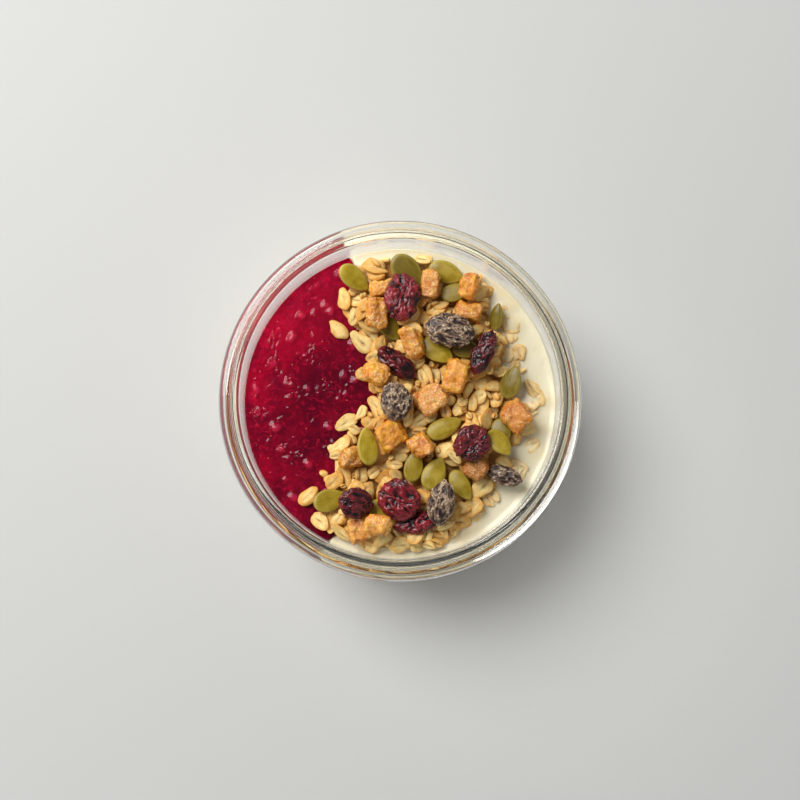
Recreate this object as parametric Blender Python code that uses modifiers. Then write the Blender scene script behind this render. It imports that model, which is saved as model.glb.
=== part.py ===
"""Yogurt parfait in its glass.

A low, tapered preserving jar of clear glass with a flanged rim.  It holds plain yogurt
and, on the left, a pool of berry compote.  A band of granola lies across the top, with
dried cranberries, raisins, diced apricot and pumpkin seeds on it.

Blender 4.5, metres, +Z up.  The origin is at the middle of the jar's foot.
"""
import math

import bmesh
import bpy
import numpy as np
from mathutils import Matrix, Vector, noise
from mathutils.bvhtree import BVHTree

MM = 0.001

# ---- driving dimensions --------------------------------------------------------------
GAP = 0.3 * MM                  # clearance between pieces that touch

JAR_HEIGHT = 55.0 * MM
RIM_RADIUS = 55.0 * MM          # outside of the flange
MOUTH_RADIUS = 48.4 * MM        # inside of the lip
WALL = 3.0 * MM
WALL_TAPER = math.radians(4.2)  # the wall leans out by this much
FLOOR = 5.0 * MM                # thickness of the base
INNER_CORNER = 7.0 * MM
OUTER_CORNER = 6.5 * MM
FOOT_WIDTH = 4.0 * MM           # flat ring that the jar stands on
FOOT_HOLLOW = 0.9 * MM          # depth of the hollow inside that ring

LIP_HEIGHT = 2.2 * MM           # how far the lip stands above the flange
LIP_WIDTH = 3.0 * MM
LIP_ROUND = 1.2 * MM
BEAD_RADIUS = 1.8 * MM          # rounded outer edge of the flange
BEAD_GROOVE = 0.2 * MM          # shallow groove inside the bead
FLANGE_ROOT = 7.6 * MM          # the underside meets the wall this far below the flange

TURN_STEPS = 40                 # facets round the jar and its filling

LEVEL = 41.5 * MM               # surface of the yogurt and compote
MENISCUS_RISE = 0.6 * MM
MENISCUS_WIDTH = 1.9 * MM

POOL_CENTRE = (-42.0 * MM, 5.0 * MM)     # compote: a bowl-shaped pool at the left wall
POOL_SIZE = (38.0 * MM, 56.0 * MM, 13.0 * MM)

BED_RIDGE = 3.0 * MM            # height of the granola above the yogurt, at its middle
BED_EDGE = 1.2 * MM             # and at its edge
BED_UNEVEN = 0.8 * MM           # height of its lumps
BED_LUMP = 7.0 * MM             # and their size
BED_REACH = 45.3 * MM           # furthest from the jar's axis
BED_CELLS = (16, 30)            # mesh cells across and along the band

PILE_CELL = 0.4 * MM            # grid on which the pile's height is kept
MAX_LEAN = math.radians(24)     # steepest tilt of a piece on the pile
SETTLE_STEPS = 3                # a piece may slip this many grid cells to lie lower
SLIP_COST = 0.45                # and slips only if it sinks by this much of the way
FIRST_SHAPE = 3                 # where the numbering of the pieces' irregular shapes starts

# The band of granola runs from front to back: its two edges, in mm, as (y, x).
LEFT_EDGE = [(-45, -25), (-30, -25), (-23, -21.5), (-14, -17), (-8, -15), (1, -7.5),
             (13, -8), (23, -15), (32, -16.5), (45, -15.5)]
RIGHT_EDGE = [(-45, 8), (-34, 21.5), (-23, 30), (-5, 38), (4, 35.5), (13, 31), (23, 29),
              (41, 26), (45, 21)]

# Pieces on the granola in the order in which they lie on each other, the lowest first:
# kind, x, y, length, width, height and turn of the length from +X, in mm and degrees.
PILE = [
    ("pumpkin_seed", 2.6, 43.1, 12.5, 7.4, 2.4, -45),
    ("pumpkin_seed", 15.3, 42.6, 11.5, 6.4, 2.2, -20),
    ("pumpkin_seed", -14, 38, 11.0, 6.2, 2.2, -38),
    ("pumpkin_seed", 34, 6, 10.5, 6.2, 2.4, 70),
    ("pumpkin_seed", 31, -9.2, 8.5, 5.4, 2.2, -72),
    ("pumpkin_seed", 30.3, -12.8, 10.0, 6.0, 2.2, -55),
    ("pumpkin_seed", -21.3, -30, 10.5, 6.4, 2.2, 20),
    ("pumpkin_seed", 11.5, 15.5, 11.5, 6.4, 2.4, -35),
    ("pumpkin_seed", 13.5, -8, 11.5, 5.8, 2.4, 25),
    ("pumpkin_seed", 10.5, -22, 10.8, 6.6, 2.4, 65),
    ("pumpkin_seed", 18.6, -25.6, 10.5, 5.4, 2.4, -58),
    ("pumpkin_seed", 16.4, 35, 9.6, 5.4, 1.8, 15),
    ("pumpkin_seed", -3.2, 22.8, 9.6, 5.4, 1.8, -55),
    ("pumpkin_seed", 19, 15.4, 9.6, 5.4, 1.8, -10),
    ("pumpkin_seed", 5, -19.6, 10.0, 5.4, 1.8, 80),
    ("pumpkin_seed", 29.6, 26.2, 8.4, 4.2, 2.4, 78),
    ("pumpkin_seed", -6.0, -32.4, 9.2, 5.2, 1.8, 10),
    ("apricot", -12.6, -41.6, 8.0, 7.6, 3.8, 20),
    ("apricot", -6.7, -37.9, 7.2, 6.0, 3.4, -15),
    ("apricot", 34.3, -4, 9.0, 7.4, 4.4, -50),
    ("raisin", 31.9, -22.6, 11.4, 6.0, 4.6, -20),
    ("apricot", 23.5, -21, 7.6, 6.8, 4.6, 65),
    ("apricot", 22, 37, 8.0, 5.4, 4.4, 70),
    ("apricot", 20.5, 28.8, 8.2, 5.4, 4.6, -15),
    ("apricot", -7, 27, 8.8, 6.4, 4.6, 82),
    ("apricot", -7, 34.5, 6.2, 4.6, 4.0, 10),
    ("apricot", 9, 36, 8.2, 5.4, 4.6, 86),
    ("apricot", -14.8, -17, 7.2, 6.2, 4.6, 5),
    ("apricot", 6, -13.5, 6.8, 6.2, 4.6, -60),
    ("apricot", -1.4, -11.2, 8.4, 8.0, 4.6, 35),
    ("apricot", 9.1, 0.5, 9.2, 8.2, 4.6, 30),
    ("apricot", 15.7, 6.2, 10.0, 6.8, 4.8, 75),
    ("pumpkin_seed", -8.7, -12.7, 11.8, 6.4, 2.4, 96),
    ("cranberry", -1, 11.7, 14.5, 6.6, 4.6, -37),
    ("apricot", 2.6, 16.5, 9.8, 5.6, 4.6, -72),
    ("apricot", -6, 9.4, 7.0, 6.2, 4.4, -20),
    ("cranberry", 24.4, 14.7, 14.0, 6.6, 4.8, 67),
    ("raisin", 16.6, 22.6, 15.8, 10.4, 5.4, -15),
    ("raisin", -2, 0.4, 11.8, 9.8, 4.4, 100),
    ("cranberry", 2, 32.4, 15.0, 11.0, 5.6, 86),
    ("cranberry", 23, -12.9, 11.6, 11.0, 5.6, 40),
    ("cranberry", 5.2, -36.8, 14.4, 6.4, 4.4, 10),
    ("cranberry", -12.6, -32.4, 10.6, 9.6, 5.0, -10),
    ("raisin", 12.4, -31.3, 13.8, 8.2, 4.8, 80),
    ("cranberry", 0.4, -31.4, 13.2, 12.2, 5.8, -20),
]

# Colours are linear RGB; then roughness.
FINISH = {
    "glass_jar": ((0.80, 0.86, 0.83), 0.03),
    "yogurt": ((0.82, 0.76, 0.58), 0.35),
    "compote": ((0.27, 0.005, 0.018), 0.12),
    "granola": ((0.62, 0.41, 0.15), 0.75),
    "cranberry": ((0.11, 0.012, 0.014), 0.35),
    "raisin": ((0.06, 0.03, 0.025), 0.55),
    "apricot": ((0.62, 0.24, 0.03), 0.45),
    "pumpkin_seed": ((0.26, 0.21, 0.035), 0.40),
}


# ---- scene and materials -------------------------------------------------------------
def clear_scene():
    for obj in list(bpy.data.objects):
        bpy.data.objects.remove(obj, do_unlink=True)


def new_collection(name):
    collection = bpy.data.collections.new(name)
    bpy.context.scene.collection.children.link(collection)
    return collection


def new_material(name):
    colour, roughness = FINISH[name]
    material = bpy.data.materials.new(name)
    material.use_nodes = True
    shader = material.node_tree.nodes["Principled BSDF"]
    shader.inputs["Base Color"].default_value = (*colour, 1.0)
    shader.inputs["Roughness"].default_value = roughness
    shader.inputs["Metallic"].default_value = 0.0
    if name == "glass_jar":
        shader.inputs["Transmission Weight"].default_value = 1.0
        shader.inputs["IOR"].default_value = 1.5
    return material


def add_object(name, bm, collection, material=None):
    mesh = bpy.data.meshes.new(name)
    bm.to_mesh(mesh)
    bm.free()
    if material:
        mesh.materials.append(material)
    obj = bpy.data.objects.new(name, mesh)
    collection.objects.link(obj)
    return obj


# ---- turned shapes -------------------------------------------------------------------
def arc(centre, radius, start, end, steps):
    """Points (r, z) on an arc; the angles are in degrees from +r towards +z."""
    angles = [math.radians(start + (end - start) * i / steps) for i in range(steps + 1)]
    return [(centre[0] + radius * math.cos(a), centre[1] + radius * math.sin(a))
            for a in angles]


def inner_wall(z):
    """Radius of the jar's inside at height z, above its rounded corner."""
    return MOUTH_RADIUS - (JAR_HEIGHT - z) * math.tan(WALL_TAPER)


def outer_wall(z):
    return inner_wall(z) + WALL


def inner_corner(offset):
    """The rounded corner inside, from floor to wall, moved inward by offset."""
    lean = math.degrees(WALL_TAPER)
    centre_z = FLOOR + INNER_CORNER
    centre_r = inner_wall(centre_z) - INNER_CORNER
    return arc((centre_r, centre_z), INNER_CORNER - offset, -90, -lean, 4)


def jar_profile():
    """From the middle of the floor, up the inside, over the rim and down the outside."""
    lean = math.degrees(WALL_TAPER)
    flange_top = JAR_HEIGHT - LIP_HEIGHT
    lip_outside = MOUTH_RADIUS + LIP_WIDTH

    points = [(0.0, FLOOR)] + inner_corner(0.0)
    points += arc((MOUTH_RADIUS + LIP_ROUND, JAR_HEIGHT - LIP_ROUND), LIP_ROUND, 180 - lean, 90, 3)
    points += arc((lip_outside - LIP_ROUND, JAR_HEIGHT - LIP_ROUND), LIP_ROUND, 90, 10, 3)
    points.append((lip_outside + 0.25 * MM, flange_top))

    bead = (RIM_RADIUS - BEAD_RADIUS, flange_top - BEAD_RADIUS)
    points.append((bead[0] - 0.6 * MM, flange_top))
    points.append((bead[0] - 0.2 * MM, flange_top - BEAD_GROOVE))
    points += arc(bead, BEAD_RADIUS, 82, -66, 6)

    root = flange_top - FLANGE_ROOT
    points.append((outer_wall(root) + 1.0 * MM, root + 2.0 * MM))
    points.append((outer_wall(root), root))

    corner = (outer_wall(OUTER_CORNER) - OUTER_CORNER, OUTER_CORNER)
    points += arc(corner, OUTER_CORNER, -lean, -90, 4)
    foot_inside = corner[0] - FOOT_WIDTH
    points.append((foot_inside, 0.0))
    points.append((foot_inside - 3.0 * MM, 0.7 * FOOT_HOLLOW))
    points.append((0.0, FOOT_HOLLOW))
    return points


def meniscus(radius):
    """How far the yogurt climbs at this radius, near the glass."""
    wall = inner_wall(LEVEL) - GAP
    reach = max(0.0, 1.0 - (wall - radius) / MENISCUS_WIDTH)
    return MENISCUS_RISE * reach * reach


def filling_profile():
    """From the middle of the surface out to the glass, down it and along the floor."""
    wall = inner_wall(LEVEL) - GAP
    points = [(0.0, LEVEL)]
    for step in range(4):
        radius = wall - MENISCUS_WIDTH * (1 - step / 3)
        points.append((radius, LEVEL + meniscus(radius)))
    points += inner_corner(GAP)[::-1]
    points.append((0.0, FLOOR + GAP))
    return points


def turned(name, profile, collection, material):
    bm = bmesh.new()
    verts = [bm.verts.new((r, 0.0, z)) for r, z in profile]
    for first, second in zip(verts, verts[1:]):
        bm.edges.new((first, second))
    obj = add_object(name, bm, collection, material)
    screw = obj.modifiers.new("turn", "SCREW")
    screw.axis = "Z"
    screw.angle = math.tau
    screw.steps = TURN_STEPS
    screw.render_steps = TURN_STEPS
    screw.use_merge_vertices = True
    screw.merge_threshold = 0.00001
    screw.use_smooth_shade = True
    return obj


# ---- compote pool --------------------------------------------------------------------
def pool_cutter(name, grow, collection):
    """The bowl-shaped space of the pool, made larger by grow."""
    bm = bmesh.new()
    size = [half + grow for half in POOL_SIZE]
    place = Matrix.Translation((*POOL_CENTRE, LEVEL)) @ Matrix.Diagonal((*size, 1.0))
    bmesh.ops.create_uvsphere(bm, u_segments=36, v_segments=10, radius=1.0, matrix=place)
    cutter = add_object(name, bm, collection)
    cutter.hide_render = True
    cutter.display_type = "WIRE"
    return cutter


def cut(obj, cutter, operation):
    boolean = obj.modifiers.new(operation.lower(), "BOOLEAN")
    boolean.operation = operation
    boolean.object = cutter
    boolean.solver = "EXACT"


# ---- granola bed ---------------------------------------------------------------------
def edge_at(edge, y):
    ys, xs = zip(*edge)
    return float(np.interp(y / MM, ys, xs)) * MM


def lumps(x, y, layer):
    """Smooth unevenness between about -1 and 1."""
    return 1.6 * noise.noise(Vector((x / BED_LUMP, y / BED_LUMP, layer)))


def make_bed(collection, material):
    """The heap of oat flakes: a sheet over the band, pulled down to a flat underside."""
    across, along = BED_CELLS
    bm = bmesh.new()
    bmesh.ops.create_grid(bm, x_segments=across, y_segments=along, size=1.0)
    top = list(bm.verts)
    shell = bmesh.ops.extrude_face_region(bm, geom=list(bm.faces))
    under = [item for item in shell["geom"] if isinstance(item, bmesh.types.BMVert)]
    reach = LEFT_EDGE[-1][0] * MM

    def spot(vert):
        across_band, y = vert.co.x, vert.co.y * reach
        left = edge_at(LEFT_EDGE, y) + 1.2 * MM * lumps(0.0, y, 1.0)
        right = edge_at(RIGHT_EDGE, y) + 1.2 * MM * lumps(0.0, y, 2.0)
        x = left + (right - left) * (across_band + 1) / 2
        pull = min(1.0, BED_REACH / math.hypot(x, y))
        return x * pull, y * pull

    for vert in top:
        dome = (1 - abs(vert.co.x) ** 2.4) * (1 - 0.8 * abs(vert.co.y) ** 6)
        x, y = spot(vert)
        height = BED_EDGE + (BED_RIDGE - BED_EDGE) * dome + BED_UNEVEN * lumps(x, y, 3.0)
        vert.co = (x, y, LEVEL + max(height, 0.8 * MM))
    for vert in under:
        vert.co = (*spot(vert), LEVEL + GAP)
    flat = [face for face in bm.faces if all(vert in set(under) for vert in face.verts)]
    bmesh.ops.dissolve_faces(bm, faces=flat)
    bmesh.ops.recalc_face_normals(bm, faces=bm.faces)
    return add_object("granola", bm, collection, material)


# ---- pieces of topping ---------------------------------------------------------------
def dried_berry(seed, length, width, height, wrinkle):
    """A shrunken berry: a flattened ball with folds and a sunken middle."""
    bm = bmesh.new()
    bmesh.ops.create_uvsphere(bm, u_segments=12, v_segments=7, radius=1.0)
    size = Vector((length, width, height)) * 0.5
    for vert in bm.verts:
        direction = vert.co.normalized()
        swell = 1.0 + wrinkle * noise.noise(direction * 1.9 + Vector((seed * 7.3, 0.0, 0.0)))
        dent = 0.30 * max(0.0, direction.z - 0.55)
        point = direction * (swell - dent)
        vert.co = (point.x * size.x, point.y * size.y, point.z * size.z)
    return bm


def cranberry(seed, length, width, height):
    return dried_berry(seed, length, width, height, 0.20)


def raisin(seed, length, width, height):
    return dried_berry(seed + 0.5, length, width, height, 0.14)


def apricot(seed, length, width, height):
    """A cut cube of dried apricot with soft corners and leaning sides."""
    bm = bmesh.new()
    bmesh.ops.create_cube(bm, size=2.0)
    bmesh.ops.subdivide_edges(bm, edges=bm.edges, cuts=2, use_grid_fill=True)
    size = Vector((length, width, height)) * 0.5
    offset = Vector((seed * 5.1, 3.0, 0.0))
    for vert in bm.verts:
        ball = vert.co.normalized() * 1.25
        point = vert.co.lerp(ball, 0.45)
        point *= 0.92 + 0.22 * noise.noise(point * 0.9 + offset)
        skew = 0.22 * math.sin(seed * 2.4) * point.z
        vert.co = ((point.x + skew) * size.x, point.y * size.y, point.z * size.z)
    bmesh.ops.recalc_face_normals(bm, faces=bm.faces)
    return bm


def pumpkin_seed(seed, length, width, height):
    """A flat almond-shaped kernel, blunt at one end and pointed at the other."""
    bm = bmesh.new()
    bmesh.ops.create_uvsphere(bm, u_segments=10, v_segments=6, radius=1.0)
    bmesh.ops.rotate(bm, verts=bm.verts, matrix=Matrix.Rotation(math.pi / 2, 3, "Y"))
    for vert in bm.verts:
        along = vert.co.x
        narrow = 1.0 - 0.16 * along - 0.10 * along * along
        droop = 0.10 * (1 - along * along) * math.cos(seed)
        vert.co = (along * length / 2, vert.co.y * narrow * width / 2,
                   (vert.co.z * narrow + droop) * height / 2)
    return bm


SHAPES = {"cranberry": cranberry, "raisin": raisin, "apricot": apricot,
          "pumpkin_seed": pumpkin_seed}


# ---- laying the pieces on the pile ---------------------------------------------------
class Pile:
    """The height of the food's top surface, on a square grid over the jar."""

    def __init__(self):
        half = math.ceil(RIM_RADIUS / PILE_CELL)
        self.axis = np.arange(-half, half + 1) * PILE_CELL
        self.top = np.full((len(self.axis), len(self.axis)), LEVEL)

    def window(self, low, high):
        """The rows and columns that cover a box in plan, with one cell to spare."""
        start = np.searchsorted(self.axis, (low.x, low.y)) - 2
        stop = np.searchsorted(self.axis, (high.x, high.y)) + 2
        return slice(start[0], stop[0]), slice(start[1], stop[1])

    def trace(self, bm, rows, columns, upward):
        """Where rays along Z meet the mesh from below (upward) or from above."""
        tree = BVHTree.FromBMesh(bm)
        start = -1.0 if upward else 1.0
        heights = np.full((rows.stop - rows.start, columns.stop - columns.start), np.nan)
        for i, x in enumerate(self.axis[rows]):
            for j, y in enumerate(self.axis[columns]):
                hit = tree.ray_cast(Vector((x, y, start)), Vector((0.0, 0.0, -start)))[0]
                if hit:
                    heights[i, j] = hit.z
        return heights

    def add(self, bm):
        low, high = extent(bm)
        rows, columns = self.window(low, high)
        heights = self.trace(bm, rows, columns, upward=False)
        self.top[rows, columns] = np.fmax(self.top[rows, columns], heights)

    def slope_under(self, bm):
        """The slope of the pile beneath a piece, along X and along Y."""
        low, high = extent(bm)
        rows, columns = self.window(low, high)
        shadow = ~np.isnan(self.trace(bm, rows, columns, upward=True))
        grid_x, grid_y = np.meshgrid(self.axis[rows], self.axis[columns], indexing="ij")
        terms = np.column_stack([grid_x[shadow], grid_y[shadow], np.ones(shadow.sum())])
        fit = np.linalg.lstsq(terms, self.top[rows, columns][shadow], rcond=None)[0]
        return fit[0], fit[1]

    def rest(self, bm):
        """The small slip and the lift that bring a piece to lie clear of the pile."""
        low, high = extent(bm)
        rows, columns = self.window(low, high)
        under = self.trace(bm, rows, columns, upward=True)
        padded = np.pad(np.where(np.isnan(under), np.inf, under), 1, constant_values=np.inf)
        size_x, size_y = under.shape
        near = np.min([padded[i:i + size_x, j:j + size_y] for i in range(3) for j in range(3)],
                      axis=0)
        best = None
        slips = range(-SETTLE_STEPS, SETTLE_STEPS + 1)
        for i, j in ((i, j) for i in slips for j in slips):
            below = self.top[rows.start + i:rows.stop + i, columns.start + j:columns.stop + j]
            lift = float(np.max(below - near)) + GAP
            cost = lift + SLIP_COST * PILE_CELL * math.hypot(i, j)
            if best is None or cost < best[0]:
                best = (cost, Vector((i * PILE_CELL, j * PILE_CELL, lift)))
        return best[1]


def extent(bm):
    corners = np.array([vert.co for vert in bm.verts])
    return Vector(corners.min(axis=0)), Vector(corners.max(axis=0))


def lay(shape, x, y, turn, pile):
    """Turn, lean and lower a piece onto the pile; returns its matrix."""
    def placed(matrix):
        copy = shape.copy()
        bmesh.ops.transform(copy, matrix=matrix, verts=copy.verts)
        return copy

    spin = Matrix.Rotation(math.radians(turn), 4, "Z")
    place = Matrix.Translation((x, y, 0.0))
    trial = placed(place @ spin)
    limit = (inner_wall(LEVEL) - GAP) * math.cos(math.pi / TURN_STEPS) - GAP
    limit -= SETTLE_STEPS * PILE_CELL
    overrun = max(math.hypot(vert.co.x, vert.co.y) for vert in trial.verts) - limit
    if overrun > 0:
        radius = math.hypot(x, y)
        place = Matrix.Translation((x - overrun * x / radius, y - overrun * y / radius, 0.0))
        trial = placed(place @ spin)

    slope_x, slope_y = pile.slope_under(trial)
    steepness = math.hypot(slope_x, slope_y)
    lean = min(math.atan(steepness), MAX_LEAN)
    tilt = Matrix.Identity(4)
    if steepness > 0:
        tilt = Matrix.Rotation(lean, 4, Vector((-slope_y, slope_x, 0.0)))
    matrix = place @ tilt @ spin
    lowered = placed(matrix)
    matrix = Matrix.Translation(pile.rest(lowered)) @ matrix
    pile.add(placed(matrix))
    return matrix


def main():
    clear_scene()
    parts = new_collection("yogurt_parfait")
    cutters = new_collection("cutters")
    materials = {name: new_material(name) for name in FINISH}
    stand = bpy.data.objects.new("parfait", None)
    parts.objects.link(stand)

    turned("glass_jar", jar_profile(), parts, materials["glass_jar"])
    yogurt = turned("yogurt", filling_profile(), parts, materials["yogurt"])
    compote = turned("compote", filling_profile(), parts, materials["compote"])
    cut(compote, pool_cutter("pool", 0.0, cutters), "INTERSECT")
    cut(yogurt, pool_cutter("pool_and_gap", GAP, cutters), "DIFFERENCE")
    bed = make_bed(parts, materials["granola"])

    pile = Pile()
    bed_shape = bmesh.new()
    bed_shape.from_mesh(bed.data)
    pile.add(bed_shape)
    count = {kind: 0 for kind in SHAPES}
    for kind, x, y, length, width, height, turn in PILE:
        count[kind] += 1
        shape = SHAPES[kind](FIRST_SHAPE + count[kind], length * MM, width * MM, height * MM)
        matrix = lay(shape, x * MM, y * MM, turn, pile)
        piece = add_object(f"{kind}_{count[kind]}", shape, parts, materials[kind])
        piece.data.shade_smooth()
        piece.matrix_world = matrix

    for obj in parts.objects:
        if obj.type == "MESH":
            obj.parent = stand


main()
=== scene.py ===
"""Looks of the yogurt parfait: glass, yogurt, compote, oat flakes, dried fruit and seeds.

Lengths are in metres.  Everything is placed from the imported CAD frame.
"""
import math

import bpy
import numpy as np
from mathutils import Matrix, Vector
from mathutils.bvhtree import BVHTree


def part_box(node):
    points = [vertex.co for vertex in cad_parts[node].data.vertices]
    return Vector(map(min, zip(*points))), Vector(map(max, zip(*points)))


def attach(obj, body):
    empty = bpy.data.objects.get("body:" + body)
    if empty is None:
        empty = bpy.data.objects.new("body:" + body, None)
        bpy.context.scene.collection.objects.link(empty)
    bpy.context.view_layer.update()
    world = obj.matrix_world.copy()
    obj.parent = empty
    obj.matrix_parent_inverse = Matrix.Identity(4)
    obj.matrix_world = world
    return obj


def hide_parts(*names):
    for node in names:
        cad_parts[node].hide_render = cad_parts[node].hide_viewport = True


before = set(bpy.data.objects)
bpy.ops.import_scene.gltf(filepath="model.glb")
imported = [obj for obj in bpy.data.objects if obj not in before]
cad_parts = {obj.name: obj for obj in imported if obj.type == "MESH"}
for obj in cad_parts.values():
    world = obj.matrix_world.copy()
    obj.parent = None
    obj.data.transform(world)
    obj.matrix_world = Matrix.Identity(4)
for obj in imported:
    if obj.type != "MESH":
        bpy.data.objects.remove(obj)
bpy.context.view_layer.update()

MM = 0.001
BODY = "root"

# ---- sizes that the frame gives ------------------------------------------------------
jar_low, jar_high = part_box("glass_jar")
yogurt_low, yogurt_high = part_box("yogurt")
RIM_RADIUS = jar_high.x
JAR_HEIGHT = jar_high.z
MENISCUS_RISE = 0.6 * MM
LEVEL = yogurt_high.z - MENISCUS_RISE
FLOOR = yogurt_low.z - 0.3 * MM

# ---- the jar's section, as in the CAD part -------------------------------------------
MOUTH_RADIUS = 48.4 * MM
WALL = 3.0 * MM
WALL_TAPER = math.radians(4.2)
INNER_CORNER = 7.0 * MM
OUTER_CORNER = 6.5 * MM
FOOT_WIDTH = 4.0 * MM
FOOT_HOLLOW = 0.9 * MM
LIP_HEIGHT = 2.2 * MM
LIP_WIDTH = 3.0 * MM
LIP_ROUND = 1.2 * MM
BEAD_RADIUS = 1.8 * MM
BEAD_GROOVE = 0.2 * MM
FLANGE_ROOT = 7.6 * MM
MENISCUS_WIDTH = 1.9 * MM
POOL_CENTRE = (-42.0 * MM, 5.0 * MM)
POOL_SIZE = (38.0 * MM, 56.0 * MM, 13.0 * MM)
EMBED = 0.25 * MM               # the filling reaches this far into the glass
JAR_STEPS = 192                 # facets round the jar


# ---- noise ---------------------------------------------------------------------------
def lattice_hash(i, j, k, seed):
    """A repeatable 32-bit number for each lattice point."""
    with np.errstate(over="ignore"):
        n = i.astype(np.uint32) * np.uint32(73856093)
        n ^= j.astype(np.uint32) * np.uint32(19349663)
        n ^= k.astype(np.uint32) * np.uint32(83492791)
        n ^= np.uint32((seed * 2654435761) % 2**32)
        n ^= n >> np.uint32(13)
        n *= np.uint32(1540483477)
        n ^= n >> np.uint32(15)
        n *= np.uint32(2246822519)
        n ^= n >> np.uint32(13)
    return n


def gradient_noise(points, seed=0):
    """Smooth noise between about -1 and 1 at an array of points, one unit per lump."""
    points = np.asarray(points, float)
    cell = np.floor(points).astype(np.int64)
    part = points - cell
    fade = part**3 * (part * (part * 6 - 15) + 10)
    total = np.zeros(len(points))
    for corner in range(8):
        step = np.array([corner & 1, corner >> 1 & 1, corner >> 2 & 1])
        hashed = lattice_hash(*(cell + step).T, seed)
        gradient = np.stack([(hashed >> np.uint32(s) & np.uint32(255)) / 127.5 - 1
                             for s in (0, 8, 16)], axis=1)
        weight = np.prod(np.where(step, fade, 1 - fade), axis=1)
        total += weight * np.einsum("ij,ij->i", gradient, part - step)
    return total * 1.3


def layered_noise(points, size, octaves=3, seed=0, rough=0.5):
    """Several octaves of noise; size is that of the largest lumps."""
    points = np.asarray(points, float) / size
    total, weight = np.zeros(len(points)), 1.0
    for octave in range(octaves):
        total += weight * gradient_noise(points * 2**octave, seed + octave * 17)
        weight *= rough
    return total


def folds(points, size, seed=0, sharp=1.5):
    """Meandering ridges: 1 on a crest and 0 in between."""
    ridge = 1 - np.abs(gradient_noise(np.asarray(points) / size, seed)) * 1.6
    return np.clip(ridge, 0, 1) ** sharp


def warped(points, size, amount, seed, ways=3):
    """The points, each moved by smooth noise along the first few axes."""
    shift = np.zeros_like(points)
    for axis in range(ways):
        shift[:, axis] = gradient_noise(points / size, seed + axis)
    return points + amount * shift


def nearest_dots(points, size, seed=0):
    """Distance to the nearest of randomly scattered dots, in units of size, and its hash."""
    points = np.asarray(points, float) / size
    cell = np.floor(points).astype(np.int64)
    best = np.full(len(points), 9.0)
    which = np.zeros(len(points))
    for i in (-1, 0, 1):
        for j in (-1, 0, 1):
            for k in (-1, 0, 1):
                at = cell + (i, j, k)
                hashed = lattice_hash(*at.T, seed)
                dot = at + np.stack([(hashed >> np.uint32(s) & np.uint32(1023)) / 1023
                                     for s in (0, 10, 20)], axis=1)
                gap = np.linalg.norm(points - dot, axis=1)
                nearer = gap < best
                best = np.where(nearer, gap, best)
                which = np.where(nearer, (hashed & np.uint32(4095)) / 4095, which)
    return best, which


# ---- meshes --------------------------------------------------------------------------
def outward(points, faces):
    """The faces of a closed shape, turned round if they face inward."""
    points = np.asarray(points)
    fans = np.array([(f[0], f[k], f[k + 1]) for f in faces for k in range(1, len(f) - 1)])
    a, b, c = points[fans[:, 0]], points[fans[:, 1]], points[fans[:, 2]]
    volume = np.einsum("ij,ij->i", a, np.cross(b, c)).sum()
    return [f[::-1] for f in faces] if volume < 0 else faces


def new_piece(name, points, faces, material, slot, *nodes, crisp=None):
    """A mesh object that rides with the jar and stands for the given CAD nodes."""
    mesh = bpy.data.meshes.new(name)
    faces = outward(points, [tuple(map(int, face)) for face in faces])
    mesh.from_pydata(np.asarray(points).tolist(), [], faces)
    mesh.validate()
    mesh.shade_smooth()
    if crisp:
        mesh.set_sharp_from_angle(angle=math.radians(crisp))
    mesh.materials.append(material)
    piece = bpy.data.objects.new(name, mesh)
    bpy.context.scene.collection.objects.link(piece)
    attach(piece, BODY)
    if nodes:
        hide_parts(*nodes)
    return piece


def add_attribute(piece, name, values):
    """A value or vector for each point; the points after the last value get zero."""
    values = np.asarray(values, np.float32)
    if values.ndim == 1:
        values = np.pad(values, (0, len(piece.data.vertices) - len(values)))
        piece.data.attributes.new(name, "FLOAT", "POINT").data.foreach_set("value", values)
    else:
        layer = piece.data.attributes.new(name, "FLOAT_VECTOR", "POINT")
        layer.data.foreach_set("vector", values.ravel())


def vectors(items, name):
    """The vectors of that name of a mesh's vertices or normals."""
    values = np.zeros(len(items) * 3)
    items.foreach_get(name, values)
    return values.reshape(-1, 3)


def ring_faces(rings, around):
    """Quads between successive closed rings of points."""
    faces = []
    for ring in range(rings - 1):
        base = ring * around
        for i in range(around):
            j = (i + 1) % around
            faces.append((base + i, base + j, base + around + j, base + around + i))
    return faces


def closed_rings(around, rings, first, last):
    """Points and faces of a shape of rings that is closed by a point at each end."""
    points = np.concatenate([*rings, [first, last]])
    count = len(points) - 2
    faces = [face[::-1] for face in ring_faces(count // around, around)]
    for i in range(around):
        j = (i + 1) % around
        faces.append((count, i, j))
        faces.append((count + 1, count - around + j, count - around + i))
    return points, faces


def arc(centre, radius, start, end, steps):
    angles = np.radians(np.linspace(start, end, steps + 1))
    return [(centre[0] + radius * math.cos(a), centre[1] + radius * math.sin(a))
            for a in angles]


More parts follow.
